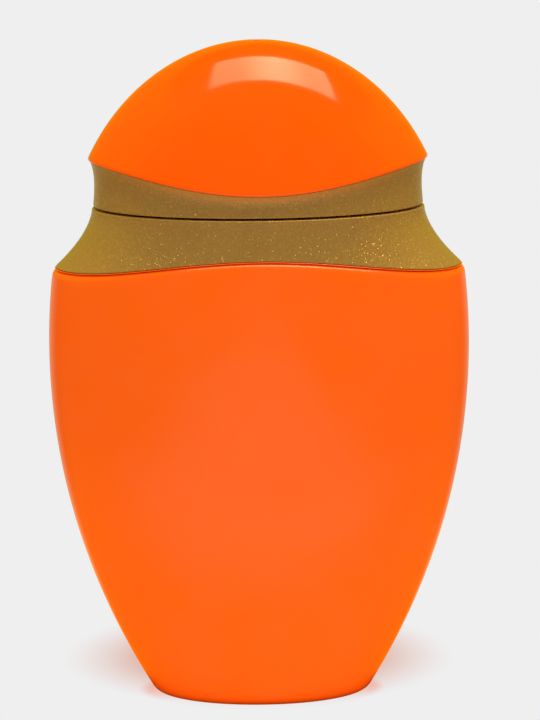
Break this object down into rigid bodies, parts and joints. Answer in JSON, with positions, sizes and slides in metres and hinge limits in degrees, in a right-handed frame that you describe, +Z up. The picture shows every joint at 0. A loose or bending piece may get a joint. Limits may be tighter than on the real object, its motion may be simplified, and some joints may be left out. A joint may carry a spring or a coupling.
{
  "type": "lotion bottle with screw cap",
  "caption": "Oval squeeze bottle for lotion: waisted metallic shoulder collar and a domed twist-off cap that rises on a coarse neck thread.",
  "frame": {"origin": "centre of the base, on the surface that the bottle stands on", "axes": "+Z up along the neck axis; +X along the width, to the right seen from the pictured face; +Y into the depth, away from that face"},
  "size_m": [0.0824, 0.042, 0.1298],
  "materials": {
    "bottle_orange": "glossy blow-moulded HDPE, orange",
    "dome_orange": "glossy moulded polypropylene, orange",
    "gold_lacquer": "satin gold lacquer with fine metal flake over moulded polypropylene",
    "plug_natural": "natural low-density polyethylene",
    "wad_foam": "matt expanded polyethylene foam",
    "inner_cap_white": "natural white polypropylene"
  },
  "bodies": {
    "bottle": {"bottle_body": "bottle_orange", "shoulder_collar": "gold_lacquer", "orifice_plug": "plug_natural"},
    "wad": {"sealing_wad": "wad_foam"},
    "cap": {"inner_cap": "inner_cap_white", "cap_band": "gold_lacquer", "cap_dome": "dome_orange"}
  },
  "joints": [
    {"name": "cap_rise", "type": "slide", "parent": "bottle", "child": "wad", "axis": [0, 0, 1], "range_m": [0, 0.018]},
    {"name": "cap_turn", "type": "hinge", "parent": "wad", "child": "cap", "pos_m": [0, 0, 0.1], "axis": [0, 0, 1], "range_deg": [0, 810]}
  ],
  "couplings": [
    {"joint": "cap_rise", "follows": "cap_turn", "m_per_rad": 0.0012732}
  ]
}
